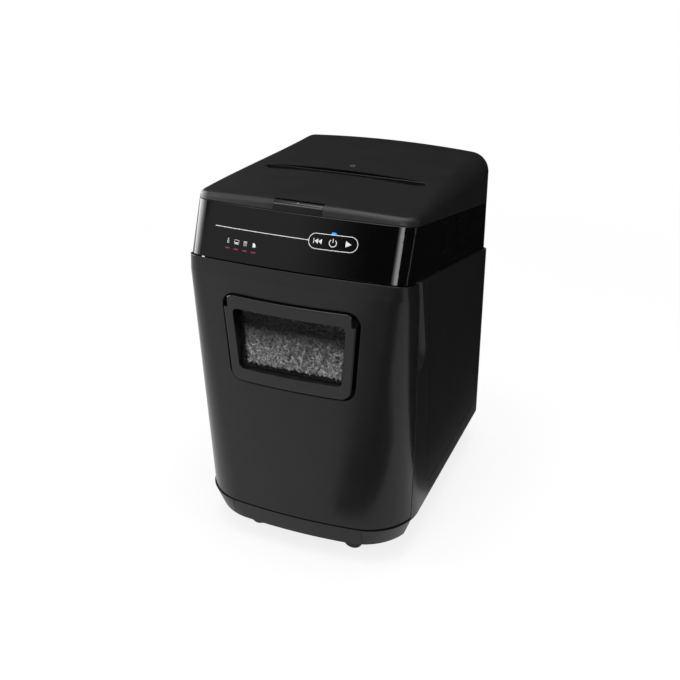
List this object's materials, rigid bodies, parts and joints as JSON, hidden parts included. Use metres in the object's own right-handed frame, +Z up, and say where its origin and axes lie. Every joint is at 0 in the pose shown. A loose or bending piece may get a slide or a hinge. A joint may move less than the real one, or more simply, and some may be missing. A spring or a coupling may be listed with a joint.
{
  "type": "paper shredder",
  "caption": "Auto-feed paper shredder: sloping lid with manual slot over a stacking tray, gloss band with keys and vents, windowed pull-out bin, cross-cutters, casters.",
  "frame": {"origin": "on the floor under the middle of the machine", "axes": "+Z is up; the window and the controls face -Y; +X is to the right of someone who stands in front of the machine"},
  "size_m": [0.31, 0.41, 0.5071],
  "materials": {
    "lid_black": "satin",
    "cabinet_black": "satin",
    "band_gloss": "glossy",
    "bin_front_black": "satin",
    "frame_gloss": "glossy",
    "latch_gloss": "glossy",
    "inner_plastic": "matte",
    "bin_plastic": "matte",
    "grille_black": "matte",
    "key_black": "glossy",
    "power_light": "glossy",
    "status_lights": "glossy",
    "board_green": "satin",
    "clear_lens": "clear",
    "shreds": "matte",
    "steel": "brushed",
    "plated_steel": "satin",
    "bronze": "satin",
    "gear_plastic": "satin",
    "motor_steel": "satin",
    "rubber": "matte",
    "caster_black": "satin",
    "switch_black": "satin"
  },
  "bodies": {
    "machine": {"base_tray": "cabinet_black", "side_panel_left": "cabinet_black", "side_panel_right": "cabinet_black", "rear_panel": "cabinet_black", "cabinet_screws": "plated_steel", "head_deck": "inner_plastic", "fascia_band": "band_gloss", "vent_grille_left": "grille_black", "vent_grille_right": "grille_black", "power_light": "power_light", "status_lights": "status_lights", "key_board": "board_green", "feed_tray": "inner_plastic", "hinge_pins": "steel", "cutter_plate_left": "plated_steel", "cutter_plate_right": "plated_steel", "tie_rods": "steel", "cutter_bushes": "bronze", "stripper_combs": "inner_plastic", "gear_studs": "steel", "motor_housing": "motor_steel", "power_board": "board_green", "interlock_switches": "switch_black", "cord_gland": "switch_black", "rocker_housing": "switch_black", "caster_sockets": "plated_steel"},
    "bin": {"bin_box": "bin_plastic", "bin_front": "bin_front_black", "handle_frame": "frame_gloss", "window_lens": "clear_lens", "shredded_paper": "shreds"},
    "lid": {"lid_shell": "lid_black", "lid_liner": "inner_plastic", "latch_pin": "steel", "pressure_springs": "steel"},
    "latch": {"latch_paddle": "latch_gloss"},
    "presser": {"pressure_plate": "inner_plastic"},
    "reverse_key": {"key_reverse": "key_black"},
    "power_key": {"key_power": "key_black"},
    "forward_key": {"key_forward": "key_black"},
    "rocker": {"power_rocker": "switch_black"},
    "front_cutter": {"cutter_front": "steel", "cutter_gear_front": "steel"},
    "rear_cutter": {"cutter_rear": "steel", "cutter_gear_rear": "steel"},
    "reduction": {"reduction_gear": "gear_plastic"},
    "rotor": {"motor_rotor": "steel", "cooling_fan": "gear_plastic"},
    "idler": {"feed_idler": "gear_plastic"},
    "feed": {"feed_shaft": "steel", "feed_rollers": "rubber", "feed_gear": "gear_plastic"},
    "fork_front_left": {"caster_fork_front_left": "caster_black"},
    "wheel_front_left": {"caster_wheel_front_left": "caster_black"},
    "fork_front_right": {"caster_fork_front_right": "caster_black"},
    "wheel_front_right": {"caster_wheel_front_right": "caster_black"},
    "fork_rear_left": {"caster_fork_rear_left": "caster_black"},
    "wheel_rear_left": {"caster_wheel_rear_left": "caster_black"},
    "fork_rear_right": {"caster_fork_rear_right": "caster_black"},
    "wheel_rear_right": {"caster_wheel_rear_right": "caster_black"}
  },
  "joints": [
    {"name": "bin_slide", "type": "slide", "parent": "machine", "child": "bin", "axis": [0, -1, 0], "range_m": [0, 0.3]},
    {"name": "lid_hinge", "type": "hinge", "parent": "machine", "child": "lid", "pos_m": [0, 0.1958, 0.4101], "axis": [-1, 0, 0], "range_deg": [0, 50]},
    {"name": "latch_tip", "type": "hinge", "parent": "lid", "child": "latch", "pos_m": [0, -0.1575, 0.50057], "axis": [-1, 0, 0], "range_deg": [0, 12], "stiffness_Nm_per_rad": 0.25, "springref_deg": -6.88},
    {"name": "press_slide", "type": "slide", "parent": "lid", "child": "presser", "axis": [0, 0, 1], "range_m": [0, 0.005], "stiffness_N_per_m": 400, "springref_m": -0.004, "deforming": ["pressure_springs"]},
    {"name": "reverse_press", "type": "slide", "parent": "machine", "child": "reverse_key", "axis": [-0.0399, 0.9205, -0.3888], "range_m": [0, 0.0008], "stiffness_N_per_m": 1500, "springref_m": -0.0008},
    {"name": "power_press", "type": "slide", "parent": "machine", "child": "power_key", "axis": [-0.0635, 0.9191, -0.3888], "range_m": [0, 0.0008], "stiffness_N_per_m": 1500, "springref_m": -0.0008},
    {"name": "forward_press", "type": "slide", "parent": "machine", "child": "forward_key", "axis": [-0.0871, 0.9172, -0.3888], "range_m": [0, 0.0008], "stiffness_N_per_m": 1500, "springref_m": -0.0008},
    {"name": "rocker_tip", "type": "hinge", "parent": "machine", "child": "rocker", "pos_m": [0.08, 0.2, 0.153], "axis": [1, 0, 0], "range_deg": [0, 16]},
    {"name": "front_cutter_turn", "type": "hinge", "parent": "machine", "child": "front_cutter", "pos_m": [0, -0.0305, 0.41405], "axis": [1, 0, 0], "continuous": true},
    {"name": "rear_cutter_turn", "type": "hinge", "parent": "machine", "child": "rear_cutter", "pos_m": [0, 0.0025, 0.41405], "axis": [1, 0, 0], "continuous": true},
    {"name": "reduction_turn", "type": "hinge", "parent": "machine", "child": "reduction", "pos_m": [-0.125, 0.0286, 0.41005], "axis": [1, 0, 0], "continuous": true},
    {"name": "motor_turn", "type": "hinge", "parent": "machine", "child": "rotor", "pos_m": [-0.077, 0.05334, 0.39805], "axis": [1, 0, 0], "continuous": true},
    {"name": "idler_turn", "type": "hinge", "parent": "machine", "child": "idler", "pos_m": [-0.125, -0.06045, 0.42332], "axis": [1, 0, 0], "continuous": true},
    {"name": "feed_turn", "type": "hinge", "parent": "machine", "child": "feed", "pos_m": [0, -0.07552, 0.44499], "axis": [1, 0, 0], "continuous": true},
    {"name": "swivel_front_left", "type": "hinge", "parent": "machine", "child": "fork_front_left", "pos_m": [-0.079, -0.158, 0.036], "axis": [0, 0, 1], "continuous": true},
    {"name": "roll_front_left", "type": "hinge", "parent": "fork_front_left", "child": "wheel_front_left", "pos_m": [-0.07409, -0.15456, 0.015], "axis": [0.5736, -0.8192, 0], "continuous": true},
    {"name": "swivel_front_right", "type": "hinge", "parent": "machine", "child": "fork_front_right", "pos_m": [0.079, -0.158, 0.036], "axis": [0, 0, 1], "continuous": true},
    {"name": "roll_front_right", "type": "hinge", "parent": "fork_front_right", "child": "wheel_front_right", "pos_m": [0.073, -0.158, 0.015], "axis": [0, 1, 0], "continuous": true},
    {"name": "swivel_rear_left", "type": "hinge", "parent": "machine", "child": "fork_rear_left", "pos_m": [-0.079, 0.15, 0.036], "axis": [0, 0, 1], "continuous": true},
    {"name": "roll_rear_left", "type": "hinge", "parent": "fork_rear_left", "child": "wheel_rear_left", "pos_m": [-0.079, 0.156, 0.015], "axis": [1, 0, 0], "continuous": true},
    {"name": "swivel_rear_right", "type": "hinge", "parent": "machine", "child": "fork_rear_right", "pos_m": [0.079, 0.15, 0.036], "axis": [0, 0, 1], "continuous": true},
    {"name": "roll_rear_right", "type": "hinge", "parent": "fork_rear_right", "child": "wheel_rear_right", "pos_m": [0.079, 0.156, 0.015], "axis": [1, 0, 0], "continuous": true}
  ],
  "couplings": [
    {"joint": "front_cutter_turn", "follows": "motor_turn", "ratio": -0.13333},
    {"joint": "rear_cutter_turn", "follows": "motor_turn", "ratio": 0.13333},
    {"joint": "reduction_turn", "follows": "motor_turn", "ratio": -0.22222},
    {"joint": "idler_turn", "follows": "motor_turn", "ratio": 0.14815},
    {"joint": "feed_turn", "follows": "motor_turn", "ratio": -0.19048}
  ]
}
